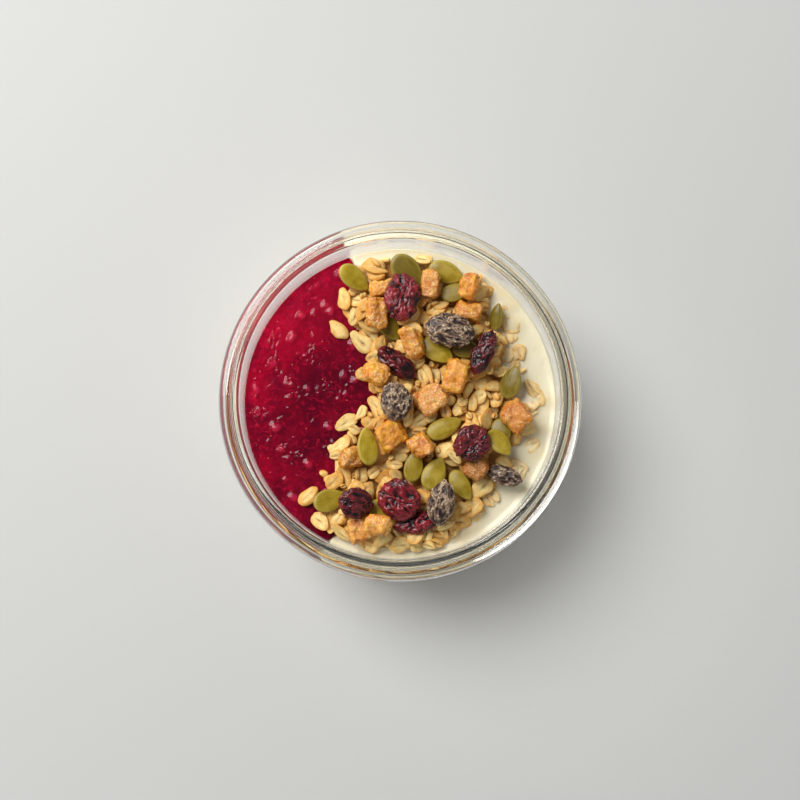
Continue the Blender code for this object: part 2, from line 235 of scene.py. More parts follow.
# ---- shader graphs -------------------------------------------------------------------
class Graph:
    """A material's nodes, added from the output backwards."""

    def __init__(self, name):
        self.material = bpy.data.materials.new(name)
        self.material.use_nodes = True
        self.tree = self.material.node_tree
        self.shader = self.tree.nodes["Principled BSDF"]
        self.place = self.add("ShaderNodeTexCoord").outputs["Object"]

    def add(self, kind, **settings):
        node = self.tree.nodes.new(kind)
        for key, value in settings.items():
            setattr(node, key, value)
        return node

    def link(self, source, target):
        self.tree.links.new(source, target)

    def put(self, socket, value):
        """Links an output to the socket, or sets the socket's own value."""
        if isinstance(value, bpy.types.NodeSocket):
            self.link(value, socket)
        elif isinstance(value, tuple) and len(value) == 3 and socket.type == "RGBA":
            socket.default_value = (*value, 1.0)
        else:
            socket.default_value = value

    def set(self, **values):
        for key, value in values.items():
            self.put(self.shader.inputs[key.replace("_", " ")], value)

    def attribute(self, name, output="Fac"):
        node = self.add("ShaderNodeAttribute", attribute_name=name)
        return node.outputs[output]

    def node(self, kind, output, inputs, **settings):
        """Adds a node, puts values on its inputs and returns one of its outputs."""
        node = self.add(kind, **settings)
        for name, value in inputs.items():
            self.put(node.inputs[name], value)
        return node.outputs[output]

    def noise(self, size, detail=3.0, rough=0.55, at=None, distort=0.0):
        inputs = {"Vector": at or self.place, "Scale": 1.0 / size, "Detail": detail,
                  "Roughness": rough, "Distortion": distort}
        return self.node("ShaderNodeTexNoise", "Fac", inputs)

    def dots(self, size):
        inputs = {"Vector": self.place, "Scale": 1.0 / size}
        return self.node("ShaderNodeTexVoronoi", "Distance", inputs)

    def split(self, vector):
        node = self.add("ShaderNodeSeparateXYZ")
        self.link(vector, node.inputs[0])
        return node.outputs

    def stretch(self, vector, scale):
        return self.node("ShaderNodeMapping", "Vector", {"Vector": vector, "Scale": scale})

    def range(self, value, low, high, to_low=0.0, to_high=1.0):
        inputs = {"Value": value, "From Min": low, "From Max": high, "To Min": to_low,
                  "To Max": to_high}
        return self.node("ShaderNodeMapRange", "Result", inputs, interpolation_type="SMOOTHSTEP")

    def math(self, operation, a, b):
        return self.node("ShaderNodeMath", 0, {0: a, 1: b}, operation=operation)

    def times(self, a, b):
        return self.math("MULTIPLY", a, b)

    def plus(self, a, b):
        return self.math("ADD", a, b)

    def mix(self, amount, first, second):
        inputs = {"Factor": amount, "A": first, "B": second}
        return self.node("ShaderNodeMix", "Result", inputs, data_type="RGBA")

    def bump(self, height, distance, strength=1.0):
        inputs = {"Height": height, "Distance": distance, "Strength": strength}
        return self.node("ShaderNodeBump", "Normal", inputs)

    def let_light_through(self, share):
        """Lets the lamp's light pass clear glass, which would otherwise cast a full shadow."""
        mixed = self.add("ShaderNodeMixShader")
        clear = self.add("ShaderNodeBsdfTransparent")
        clear.inputs["Color"].default_value = (share, share, share, 1.0)
        self.link(self.add("ShaderNodeLightPath").outputs["Is Shadow Ray"], mixed.inputs["Fac"])
        self.link(self.shader.outputs["BSDF"], mixed.inputs[1])
        self.link(clear.outputs["BSDF"], mixed.inputs[2])
        output = self.tree.nodes["Material Output"]
        self.link(mixed.outputs["Shader"], output.inputs["Surface"])

    def light_within(self, weight, radius, scale):
        """Light that spreads under the surface."""
        self.set(Subsurface_Weight=weight, Subsurface_Radius=radius, Subsurface_Scale=scale)


def srgb(red, green, blue):
    """A linear colour from the 0 to 255 values of a display."""
    def linear(value):
        value /= 255
        return value / 12.92 if value <= 0.04045 else ((value + 0.055) / 1.055) ** 2.4
    return linear(red), linear(green), linear(blue)


def glass_material():
    g = Graph("jar_glass")
    ripple = g.bump(g.noise(9 * MM, detail=1.0), 0.03 * MM, 0.35)
    g.set(Base_Color=(0.985, 0.987, 0.978), Roughness=0.0, IOR=1.5, Transmission_Weight=1.0,
          Normal=ripple)
    g.let_light_through(0.95)
    return g.material


def yogurt_material():
    g = Graph("yogurt")
    cloud = g.noise(7 * MM, detail=3)
    plain = g.mix(cloud, srgb(225, 217, 186), srgb(233, 225, 197))
    place = g.split(g.place)
    # Painted light: below the level, where it is seen through the glass, the yogurt is painted
    # lighter and warmer to make up for the shade on its sides
    painted_light_on_sides = g.range(place["Z"], LEVEL - 1.0 * MM, LEVEL - 4.0 * MM)
    plain = g.mix(painted_light_on_sides, plain, g.mix(cloud, srgb(240, 230, 203), srgb(246, 238, 215)))
    soaked = g.mix(g.noise(1.6 * MM), srgb(230, 208, 156), srgb(238, 222, 182))
    g.set(Base_Color=g.mix(g.times(g.attribute("soak"), 0.7), plain, soaked),
          Roughness=g.range(g.noise(3 * MM), 0.3, 0.7, 0.26, 0.40),
          Normal=g.bump(g.noise(2.2 * MM, detail=4), 0.12 * MM, 0.5))
    g.light_within(0.35, (1.0, 0.8, 0.55), 1.6 * MM)
    return g.material


def compote_material():
    g = Graph("compote")
    depth = g.noise(12 * MM, detail=4, rough=0.6, distort=0.8)
    place = g.split(g.place)
    # thick is not the layer's thickness: it is painted light, the gel painted brighter near the
    # left wall where light comes in and darker towards the heap
    thick = g.range(place["X"], -46 * MM, -12 * MM, 0.06, -0.20)
    gel = g.mix(g.range(g.plus(depth, thick), 0.30, 0.70), srgb(86, 0, 25), srgb(142, 0, 33))
    pulp = g.range(g.noise(2.2 * MM, detail=5, rough=0.7, distort=1.4), 0.48, 0.70)
    gel = g.mix(g.times(pulp, 0.55), gel, srgb(196, 14, 56))
    dark = g.range(g.noise(1.7 * MM, detail=4, rough=0.65, distort=1.0), 0.54, 0.72)
    # Painted light: edge makes the gel a little darker near the wall, and back paints it brighter
    # red towards +Y, the lamp's side
    out = g.add("ShaderNodeVectorMath", operation="LENGTH")
    g.link(g.stretch(g.place, (1.0, 1.0, 0.0)), out.inputs[0])
    edge = g.range(out.outputs["Value"], 38 * MM, 46 * MM, 0.0, -0.05)
    back = g.range(place["Y"], 4 * MM, 32 * MM, 0.0, 0.22)
    gel = g.mix(g.plus(edge, back), gel, srgb(216, 16, 54))
    gel = g.mix(g.times(dark, 0.5), gel, srgb(92, 0, 22))
    lump = g.range(g.attribute("lump"), 0.25, 0.9)
    gel = g.mix(g.times(lump, 0.5), gel, srgb(204, 44, 78))
    fleck = g.range(g.dots(3.3 * MM), 0.09, 0.05)
    gel = g.mix(g.times(fleck, 0.6), gel, srgb(206, 100, 84))
    fibre = g.noise(1.0 * MM, detail=4, rough=0.6)
    g.set(Base_Color=gel, Roughness=g.range(fibre, 0.3, 0.7, 0.06, 0.16),
          Normal=g.bump(fibre, 0.10 * MM, 0.35), Specular_IOR_Level=0.24)
    g.light_within(0.35, (1.0, 0.03, 0.08), 1.6 * MM)
    return g.material


def oat_material(name, pale, tan, crease):
    """Rolled oats: pale faces, toasted rims and a darker crease along each flake."""
    g = Graph(name)
    own = g.attribute("own", "Vector")
    streaks = g.noise(0.42 * MM, detail=4, rough=0.65, at=g.stretch(own, (0.25, 1.0, 1.0)))
    mottle = g.noise(1.6 * MM, detail=4, rough=0.6, at=own)
    # On flakes rim is the toasted edge; on the granola core, rim and crease carry painted shade in
    # its hollows
    toast = g.plus(g.times(g.attribute("rim"), 0.36), g.times(mottle, 0.9))
    toast = g.plus(toast, g.times(g.attribute("tone"), 0.55))
    colour = g.mix(g.range(toast, 0.45, 1.25), pale, tan)
    colour = g.mix(g.range(streaks, 0.48, 0.76, 0.0, 0.48), colour, crease)
    colour = g.mix(g.times(g.attribute("crease"), 0.75), colour, crease)
    bumps = g.bump(streaks, 0.18 * MM, 1.0)
    g.set(Base_Color=colour, Roughness=g.range(mottle, 0.3, 0.7, 0.48, 0.68), Normal=bumps,
          Specular_IOR_Level=0.35)
    g.light_within(0.15, (1.0, 0.6, 0.25), 0.6 * MM)
    return g.material


def berry_material(name, flesh, ridge, dust, rosy, dustiness, shine):
    """Wrinkled dried fruit: painted shade makes the folds dark, and the ridges are painted lighter
    as if lit and are dusty.
    """
    g = Graph(name)
    crest = g.attribute("crest")
    vary = g.noise(2.6 * MM, detail=3)
    # lit is the ridge colour painted as if lit; flesh is painted in the folds as shade
    lit = g.mix(g.times(g.attribute("tone"), 0.6), ridge, rosy)
    lit = g.mix(g.range(vary, 0.35, 0.7, 0.0, 0.45), lit, flesh)
    colour = g.mix(g.range(crest, 0.30, 0.75), flesh, lit)
    grain = g.noise(0.5 * MM, detail=4, rough=0.75)
    powder = g.times(g.range(grain, 0.46, 0.62), g.range(crest, 0.5, 0.85))
    colour = g.mix(g.times(powder, dustiness), colour, dust)
    g.set(Base_Color=colour, Roughness=g.range(grain, 0.35, 0.7, shine, shine + 0.22),
          Normal=g.bump(g.noise(0.6 * MM, detail=5, rough=0.7), 0.14 * MM, 0.8))
    g.light_within(0.12, (1.0, 0.15, 0.12), 0.6 * MM)
    return g.material


# In both berries the first colour is the painted shade in the folds and the second the painted
# light on the ridges
def cranberry_material():
    return berry_material("cranberry", srgb(26, 3, 7), srgb(98, 14, 24), srgb(210, 130, 118),
                          srgb(178, 32, 50), 0.16, 0.08)


def raisin_material():
    return berry_material("raisin", srgb(34, 17, 17), srgb(112, 80, 62), srgb(248, 226, 188),
                          srgb(150, 118, 90), 0.8, 0.32)


def apricot_material():
    g = Graph("apricot")
    depth = g.noise(3.0 * MM, detail=3, distort=0.5)
    flesh = g.mix(g.range(depth, 0.3, 0.7), srgb(216, 122, 6), srgb(248, 178, 40))
    flesh = g.mix(g.times(g.attribute("tone"), 0.45), flesh, srgb(216, 112, 24))
    flesh = g.mix(g.attribute("brown"), flesh, srgb(132, 62, 4))
    grain = g.noise(0.55 * MM, detail=5, rough=0.8, distort=0.4)
    patch = g.plus(g.range(g.noise(2.6 * MM, detail=2), 0.35, 0.6, 0.0, 0.6),
                   g.range(g.attribute("crest"), 0.45, 0.85, 0.0, 0.4))
    # Partly painted light: the sugar crust is real, but it is painted denser on faces that look up,
    # where the light falls
    facing = g.split(g.add("ShaderNodeNewGeometry").outputs["Normal"])
    patch = g.plus(patch, g.range(facing["Z"], 0.5, 0.95, 0.0, 0.45))
    crust = g.times(g.range(grain, 0.46, 0.60), g.times(patch, g.attribute("sugar")))
    crust = g.math("MINIMUM", crust, 0.7)
    colour = g.mix(crust, flesh, srgb(255, 236, 180))
    # Painted shade: the hollows and pits, where crest is low, are painted darker brown-orange
    colour = g.mix(g.range(g.attribute("crest"), 0.35, 0.05, 0.0, 0.45), colour, srgb(176, 82, 4))
    g.set(Base_Color=colour, Roughness=g.range(grain, 0.4, 0.7, 0.18, 0.5),
          Normal=g.bump(grain, 0.25 * MM, 1.0))
    g.light_within(0.45, (1.0, 0.5, 0.12), 1.3 * MM)
    return g.material


def seed_material():
    g = Graph("pumpkin_seed")
    own = g.attribute("own", "Vector")
    lines = g.noise(0.5 * MM, detail=3, at=g.stretch(own, (0.12, 1.0, 1.0)))
    patch = g.noise(3.2 * MM, detail=3, at=own)
    colour = g.mix(g.range(patch, 0.3, 0.7), srgb(156, 130, 12), srgb(188, 162, 48))
    colour = g.mix(g.times(g.attribute("tone"), 0.85), colour, srgb(92, 76, 8))
    colour = g.mix(g.range(lines, 0.5, 0.8, 0.0, 0.35), colour, srgb(196, 176, 92))
    colour = g.mix(g.times(g.attribute("rim"), 0.35), colour, srgb(206, 188, 96))
    g.set(Base_Color=colour, Roughness=g.range(patch, 0.3, 0.7, 0.28, 0.42),
          Normal=g.bump(lines, 0.08 * MM, 0.5), Specular_IOR_Level=0.35)
    g.light_within(0.2, (1.0, 0.8, 0.2), 0.8 * MM)
    return g.material


# ---- glass jar -----------------------------------------------------------------------
def inner_wall(z):
    """Inner radius of the jar's wall at a height, or at an array of heights."""
    return MOUTH_RADIUS - (JAR_HEIGHT - z) * math.tan(WALL_TAPER)


def jar_profile():
    lean = math.degrees(WALL_TAPER)
    corner_z = FLOOR + INNER_CORNER
    flange_top = JAR_HEIGHT - LIP_HEIGHT
    lip_outside = MOUTH_RADIUS + LIP_WIDTH
    round_z = JAR_HEIGHT - LIP_ROUND

    points = [(0.0, FLOOR), (20 * MM, FLOOR)]
    points += arc((inner_wall(corner_z) - INNER_CORNER, corner_z), INNER_CORNER, -90, -lean, 14)
    points += [(inner_wall(z * MM), z * MM) for z in range(16, 52, 4)]
    points += arc((MOUTH_RADIUS + LIP_ROUND, round_z), LIP_ROUND, 180 - lean, 90, 10)
    points += arc((lip_outside - LIP_ROUND, round_z), LIP_ROUND, 90, 8, 10)
    points += arc((lip_outside + 0.55 * MM, flange_top + 0.4 * MM), 0.4 * MM, 190, 270, 5)

    bead = (RIM_RADIUS - BEAD_RADIUS, flange_top - BEAD_RADIUS)
    points.append((bead[0] - 0.75 * MM, flange_top))
    points.append((bead[0] - 0.45 * MM, flange_top - 0.7 * BEAD_GROOVE))
    points.append((bead[0] - 0.2 * MM, flange_top - BEAD_GROOVE))
    points += arc(bead, BEAD_RADIUS, 88, -60, 22)

    root = flange_top - FLANGE_ROOT
    last = points[-1]
    hollow = (outer_wall(root), root)
    control = (outer_wall(root) + 0.6 * MM, root + 3.4 * MM)
    for step in range(1, 9):
        t = step / 8
        points.append(tuple((1 - t)**2 * last[i] + 2 * t * (1 - t) * control[i] + t * t * hollow[i]
                            for i in (0, 1)))
    corner = (outer_wall(OUTER_CORNER) - OUTER_CORNER, OUTER_CORNER)
    points += [(outer_wall(z * MM), z * MM) for z in range(42, 8, -4)]
    points += arc(corner, OUTER_CORNER, -lean, -90, 14)
    foot_inside = corner[0] - FOOT_WIDTH
    points += [(foot_inside, 0.0), (foot_inside - 1.5 * MM, 0.45 * FOOT_HOLLOW),
               (foot_inside - 3.0 * MM, 0.7 * FOOT_HOLLOW), (20 * MM, 0.95 * FOOT_HOLLOW),
               (0.0, FOOT_HOLLOW)]
    return points


def outer_wall(z):
    return inner_wall(z) + WALL


def turned_mesh(profile, around):
    """Points and faces of a profile turned about Z; both its ends lie on the axis."""
    angles = np.linspace(0, math.tau, around, endpoint=False)
    circle = np.stack([np.cos(angles), np.sin(angles), np.zeros(around)], axis=1)
    rings = [circle * r + (0.0, 0.0, z) for r, z in profile[1:-1]]
    return closed_rings(around, rings, (0, 0, profile[0][1]), (0, 0, profile[-1][1]))


def make_jar():
    points, faces = turned_mesh(jar_profile(), JAR_STEPS)
    new_piece("jar", points, faces, glass_material(), "jar_glass", "glass_jar")


# ---- yogurt and compote --------------------------------------------------------------
def meniscus(radius):
    reach = np.clip(1 - (inner_wall(LEVEL) - radius) / MENISCUS_WIDTH, 0, 1.15)
    return MENISCUS_RISE * reach**2


def pool_depth(x, y):
    """Depth of the compote below the surface, and 0 outside the pool."""
    inside = 1 - ((x - POOL_CENTRE[0]) / POOL_SIZE[0])**2 - ((y - POOL_CENTRE[1]) / POOL_SIZE[1])**2
    uneven = 0.16 * layered_noise(flat_points(x, y), 13 * MM, 3, seed=61)
    return POOL_SIZE[2] * np.sqrt(np.clip(inside + uneven * np.clip(3 * inside, 0, 1), 0, 1))


def flat_points(x, y):
    return np.stack([x, y, np.zeros_like(x)], axis=1)


def make_yogurt(soaked_spots):
    around, rings = 300, 110
    wall = inner_wall(LEVEL) + EMBED
    radii = wall * np.linspace(1 / rings, 1, rings)**0.9
    angles = np.linspace(0, math.tau, around, endpoint=False)
    radius, angle = np.meshgrid(radii, angles, indexing="ij")
    x, y = (radius * np.cos(angle)).ravel(), (radius * np.sin(angle)).ravel()
    spots = flat_points(x, y)
    swell = 0.22 * MM * layered_noise(spots, 14 * MM, 3, seed=3)
    z = LEVEL + swell + meniscus(np.hypot(x, y))
    soak = np.zeros(len(x))
    for spot_x, spot_y, reach in soaked_spots:
        near = np.exp(-((x - spot_x)**2 + (y - spot_y)**2) / reach**2)
        soak = np.maximum(soak, near)
        z += 0.35 * MM * near
    pool = pool_depth(x, y)
    z -= pool
    shrink = inner_wall(z) / inner_wall(LEVEL)
    rim = np.hypot(x, y) > wall - 0.5 * MM
    x, y = np.where(rim, x * shrink, x), np.where(rim, y * shrink, y)
    top = np.stack([x, y, z], axis=1)

    edge = top[-around:]
    corner_z = FLOOR + INNER_CORNER
    side = []
    for t in np.linspace(0, 1, 12)[1:]:
        height = edge[:, 2] * (1 - t) + corner_z * t
        reach = inner_wall(height) + EMBED
        side.append(np.stack([np.cos(angles) * reach, np.sin(angles) * reach, height], axis=1))
    centre = inner_wall(corner_z) - INNER_CORNER
    for r, h in arc((centre, corner_z), INNER_CORNER + EMBED, -math.degrees(WALL_TAPER), -90, 10):
        side.append(np.stack([np.cos(angles) * r, np.sin(angles) * r, np.full(around, h)], axis=1))
    side.append(side[-1] * (0.5, 0.5, 1.0))
    points, faces = closed_rings(around, [top, *side], (0, 0, LEVEL), (0, 0, FLOOR - EMBED))
    piece = new_piece("yogurt_fill", points, faces, yogurt_material(), "yogurt", "yogurt")
    add_attribute(piece, "soak", soak)


def compote_relief(x, y):
    """Lumps of fruit under the surface: height and how much each place is a lump."""
    spots = flat_points(x, y)
    bent = warped(spots, 4 * MM, 1.2 * MM, 5, ways=2)
    far, size = nearest_dots(bent, 4.6 * MM, seed=8)
    lump = np.clip(1 - far / (0.25 + 0.35 * size), 0, 1)
    lump = lump * lump * (3 - 2 * lump) * (size > 0.52)
    fine, small = nearest_dots(bent, 1.7 * MM, seed=12)
    patch = np.clip(layered_noise(spots, 6 * MM, 2, seed=15) * 2.6 - 0.25, 0, 1)
    grain = np.clip(1 - fine / 0.55, 0, 1)**1.5 * (small > 0.3) * patch
    swell = layered_noise(spots, 10 * MM, 2, seed=21)
    height = 0.30 * MM * swell + 0.55 * MM * lump + 0.50 * MM * grain
    height += 0.028 * MM * layered_noise(spots, 2.4 * MM, 3, seed=33)
    height += 0.16 * MM * patch * layered_noise(spots, 1.3 * MM, 2, seed=31)
    return height, np.maximum(lump, 0.6 * grain)


def make_compote():
    around, rings, sides, unders = 420, 120, 10, 24
    middle = np.array([-27.0 * MM, 3.0 * MM])
    angles = np.linspace(0, math.tau, around, endpoint=False)
    way = np.stack([np.cos(angles), np.sin(angles)], axis=1)

    def reach_to(centre, size):
        """Distance from the middle along each way to an ellipse around it."""
        start = (middle - centre) / size
        step = way / size
        a = (step**2).sum(1)
        b = (start * step).sum(1)
        return (-b + np.sqrt(b * b - a * ((start**2).sum() - 1))) / a

    wall = inner_wall(LEVEL) + 1.2 * EMBED
    to_wall = reach_to(np.zeros(2), np.full(2, wall))
    to_yogurt = reach_to(np.array(POOL_CENTRE), np.array(POOL_SIZE[:2]) * 0.995)
    reach = np.minimum(to_wall, to_yogurt)

    def ring(share, height):
        spot = middle + way * (reach * share)[:, None]
        return np.column_stack([spot, height(spot[:, 0], spot[:, 1])])

    lumps = []

    def surface(x, y):
        relief, lump = compote_relief(x, y)
        fade = np.clip((inner_wall(LEVEL) - np.hypot(x, y)) / (2.5 * MM), 0, 1)
        lumps.append(lump * fade)
        return LEVEL + 0.15 * MM + relief * (0.15 + 0.85 * fade) + meniscus(np.hypot(x, y))

    def bottom(x, y):
        return LEVEL - np.maximum(pool_depth(x, y), 1.0 * MM) - 0.1 * MM

    shares = np.linspace(1 / rings, 1, rings)**0.8
    top = [ring(share, surface) for share in shares]
    low_edge = ring(1.0, bottom)[:, 2]
    side = []
    at_wall = to_wall <= to_yogurt
    for step in range(1, sides + 1):
        height = top[-1][:, 2] + (low_edge - top[-1][:, 2]) * step / sides
        shrink = np.where(at_wall, (inner_wall(height) + 1.2 * EMBED) / wall, 1.0)
        side.append(np.column_stack([top[-1][:, :2] * shrink[:, None], height]))
    shrink = np.where(at_wall, (inner_wall(low_edge) + 1.2 * EMBED) / wall, 1.0)
    under = []
    for share in np.linspace(1, 0, unders + 1)[1:-1]:
        spots = ring(share, bottom)
        lean = 1 + (shrink - 1) * share**4
        under.append(np.column_stack([spots[:, :2] * lean[:, None], spots[:, 2]]))
    lump = np.concatenate(lumps)
    ends = [(*middle, height(middle[:1], middle[1:])[0]) for height in (surface, bottom)]
    points, faces = closed_rings(around, [*top, *side, *under], *ends)
    piece = new_piece("berry_compote", points, faces, compote_material(), "compote", "compote")
    add_attribute(piece, "lump", lump)


# ---- the pile ------------------------------------------------------------------------
CELL = 0.25 * MM
PILE_REACH = 50 * MM
BESIDE_BED = 1.2 * MM           # how high loose bits may lie beside the heap
NEAR_WALL = 0.4 * MM            # clearance between a flake and the glass
MAY_TOUCH = 0.15 * MM           # how far a flake may press into what lies over it
RESTS_ON = 88                   # a flake lies on the highest part of the ground, in percent

# Sizes of the flakes in mm, each from and to: length, width, thickness.
FLAKE_SIZES = (6.6, 9.0), (4.2, 5.6), (0.8, 1.2)
UNDER_SIZES = (4.5, 7.6), (3.0, 4.8), (0.8, 1.2)
CHIP_SIZES = (1.8, 3.6), (1.2, 2.2), (0.7, 1.2)
LOOSE_SIZES = (7.0, 7.8), (4.4, 5.0)
SOAKED_SIZES = (5.0, 7.4), (3.2, 4.6)
LOOSE_THICK = 1.5 * MM
SOAKED_THICK = 1.2 * MM


def drawn(rng, sizes):
    """A random size within each pair of limits."""
    return [rng.uniform(low, high) * MM for low, high in sizes]


def cast(node, xs, ys, upward):
    """Heights at which vertical rays through a grid of places meet a CAD node."""
    tree = BVHTree.FromObject(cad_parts[node], bpy.context.evaluated_depsgraph_get())
    start = -1.0 if upward else 1.0
    way = Vector((0.0, 0.0, -start))
    heights = np.full((len(xs), len(ys)), np.nan)
    for i, x in enumerate(xs):
        for j, y in enumerate(ys):
            hit = tree.ray_cast(Vector((x, y, start)), way)[0]
            if hit:
                heights[i, j] = hit.z
    return heights


class Pile:
    """Heights of the food on a square grid, and of what hangs over it."""

    def __init__(self):
        half = int(PILE_REACH / CELL)
        self.axis = np.arange(-half, half + 1) * CELL
        size = (len(self.axis), len(self.axis))
        self.top = np.full(size, LEVEL)
        self.ceiling = np.full(size, 1.0)
        rows, columns = self.box_window("granola")
        self.bed = np.full(size, np.nan)
        self.bed[rows, columns] = cast("granola", self.axis[rows], self.axis[columns], False)

    def box_window(self, node):
        low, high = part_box(node)
        first = np.searchsorted(self.axis, (low.x, low.y))
        last = np.searchsorted(self.axis, (high.x, high.y))
        return slice(first[0], last[0]), slice(first[1], last[1])

    def hang(self, node):
        """A piece of fruit or a seed keeps the flakes below it."""
        rows, columns = self.box_window(node)
        under = cast(node, self.axis[rows], self.axis[columns], True)
        self.ceiling[rows, columns] = np.fmin(self.ceiling[rows, columns], under)

    def cells(self, x, y):
        return [np.rint((value - self.axis[0]) / CELL).astype(int) for value in (x, y)]

    def at(self, field, x, y):
        i, j = (np.clip(cell, 0, len(self.axis) - 1) for cell in self.cells(x, y))
        return field[i, j]

    def outline(self, x, y):
        """Height of the granola's outline, and beside it a little over the level."""
        height = self.at(self.bed, np.array([x]), np.array([y]))[0]
        return LEVEL + BESIDE_BED if np.isnan(height) else height

    def raise_to(self, x, y, z):
        """Raises the surface under scattered points to their heights."""
        i, j = self.cells(x, y)
        inside = (i >= 0) & (j >= 0) & (i < len(self.axis)) & (j < len(self.axis))
        np.maximum.at(self.top, (i[inside], j[inside]), z[inside])


# ---- flakes and seeds as lens-shaped grids -------------------------------------------
class Lens:
    """A thin piece: a square grid pulled to a disc, with a top, an underside and a rim."""

    def __init__(self, along, across):
        u, v = np.meshgrid(np.linspace(-1, 1, along + 1),
                           np.linspace(-1, 1, across + 1), indexing="ij")
        self.u = (u * np.sqrt(1 - v * v / 2)).ravel()
        self.v = (v * np.sqrt(1 - u * u / 2)).ravel()
        self.radius = np.hypot(self.u, self.v)
        self.count = len(self.u)
        index = np.arange(self.count).reshape(along + 1, across + 1)
        quads = np.stack([index[:-1, :-1], index[1:, :-1], index[1:, 1:], index[:-1, 1:]], -1)
        top = quads.reshape(-1, 4)
        under = top[:, ::-1] + self.count
        loop = np.concatenate([index[:, 0], index[-1, 1:], index[-2::-1, -1], index[0, -2:0:-1]])
        ahead = np.roll(loop, -1)
        rim = np.stack([loop, loop + self.count, ahead + self.count, ahead], -1)
        self.faces = np.concatenate([top, under, rim])

    def both(self, values):
        return np.concatenate([values, values])


FLAKE = Lens(10, 8)
CHIP = Lens(7, 5)
SEED = Lens(26, 18)


class Batch:
    """Pieces of one kind, gathered into one mesh."""

    def __init__(self):
        self.points, self.faces, self.count, self.layers = [], [], 0, {}

    def add(self, points, faces, **layers):
        self.points.append(points)
        self.faces.append(faces + self.count)
        self.count += len(points)
        for name, values in layers.items():
            self.layers.setdefault(name, []).append(values)

    def make(self, name, material, slot, *nodes, crisp=None):
        faces = [tuple(face) for part in self.faces for face in part.tolist()]
        piece = new_piece(name, np.concatenate(self.points), faces, material, slot, *nodes,
                          crisp=crisp)
        for layer, values in self.layers.items():
            add_attribute(piece, layer, np.concatenate(values))


def cut_outline(angle, rng):
    """Radius of a roughly round outline with a few straight, broken sides."""
    radius = 1 + 0.03 * np.sin(3 * angle + rng.uniform(0, 6)) + 0.02 * np.sin(7 * angle)
    for _ in range(rng.integers(2, 6)):
        facing = np.cos(angle - rng.uniform(0, math.tau))
        radius = np.minimum(radius, rng.uniform(0.76, 1.0) / np.clip(facing, 0.2, 1))
    return radius


def oat_flake(shape, rng, length, width, thick):
    """A rolled oat: a flat flake, creased along one face, with broken edges and a curl."""
    u, v, radius = shape.u, shape.v, shape.radius
    outline = cut_outline(np.arctan2(v, u), rng)
    taper = 1 - rng.uniform(0.0, 0.30) * u
    x = u * outline * length / 2
    y = v * outline * taper * width / 2
    flank = np.clip(1 - radius**rng.uniform(3.0, 6.0), 0, 1)**0.5
    wander = 0.12 * np.sin(u * 2.5 + rng.uniform(0, 6))
    gap = (v - wander) * width / 2 / (rng.uniform(0.20, 0.34) * MM)
    crease = np.exp(-gap**2) * np.clip(1 - (np.abs(u) / rng.uniform(0.7, 1.0))**3, 0, 1)
    crease *= rng.choice([0.0, 0.7, 1.0, 1.2])
    spots = np.stack([x * 0.6, y, np.zeros(len(x))], 1)
    buckle = layered_noise(spots, 1.7 * MM, 2, seed=int(rng.integers(9999)))
    lobes = 0.16 * MM * np.exp(-((np.abs(v - wander) - 0.42) / 0.26)**2)
    top = thick * (0.18 + 0.32 * flank) + lobes - 0.34 * MM * crease + 0.10 * MM * buckle
    under = -thick * (0.18 + 0.28 * flank) + 0.08 * MM * buckle
    curl = rng.normal(0, 0.016) / MM * x * x + rng.normal(0, 0.040) / MM * y * y
    curl += rng.normal(0, 0.018) / MM * x * y
    points = np.concatenate([np.stack([x, y, top + curl], 1), np.stack([x, y, under + curl], 1)])
    return points, shape.both(crease), shape.both(radius**3)


def tilted(turn, lean_x, lean_y):
    """A rotation: spin by turn about Z, then slopes lean_x and lean_y along X and Y."""
    up = np.array([-lean_x, -lean_y, 1.0])
    up /= np.linalg.norm(up)
    ahead = np.array([math.cos(turn), math.sin(turn), 0.0])
    ahead -= up * ahead.dot(up)
    ahead /= np.linalg.norm(ahead)
    return np.stack([ahead, np.cross(up, ahead), up], axis=1)


class Dropper:
    """Finds how a thin piece comes to rest on the pile."""

    def __init__(self, pile):
        self.pile = pile
        spots = np.linspace(-0.9, 0.9, 7)
        u, v = (grid.ravel() for grid in np.meshgrid(spots, spots))
        keep = np.hypot(u, v) < 0.95
        self.u, self.v = u[keep], v[keep]

    def rest(self, x, y, turn, length, width, thick, wild):
        """Rotation, height of the middle and clearance below the ceiling."""
        cos, sin = math.cos(turn), math.sin(turn)
        a, b = self.u * length / 2, self.v * width / 2
        dx, dy = a * cos - b * sin, a * sin + b * cos
        ground = self.pile.at(self.pile.top, x + dx, y + dy)
        terms = np.stack([dx, dy, np.ones(len(dx))], 1)
        slope_x, slope_y, _ = np.linalg.lstsq(terms, ground, rcond=None)[0]
        slope = math.hypot(slope_x, slope_y)
        ease = min(1.0, 0.75 / max(slope, 1e-6))
        lean_x, lean_y = slope_x * ease + wild[0], slope_y * ease + wild[1]
        plane = lean_x * dx + lean_y * dy
        z = np.percentile(ground - plane, RESTS_ON) + 0.38 * thick
        over = self.pile.at(self.pile.ceiling, x + dx, y + dy)
        return tilted(turn, lean_x, lean_y), z, float(np.min(over - plane - z - thick / 2))


def settle(pile, points, faces, rotation, place):
    """Moves a piece into place and raises the pile's surface over it."""
    moved = points @ rotation.T + place
    corners = moved[faces[:, :4]]
    for s in (0.15, 0.5, 0.85):
        for t in (0.15, 0.5, 0.85):
            weight = np.array([(1 - s) * (1 - t), s * (1 - t), s * t, (1 - s) * t])
            spots = np.einsum("k,fkc->fc", weight, corners)
            pile.raise_to(spots[:, 0], spots[:, 1], spots[:, 2])
    return moved


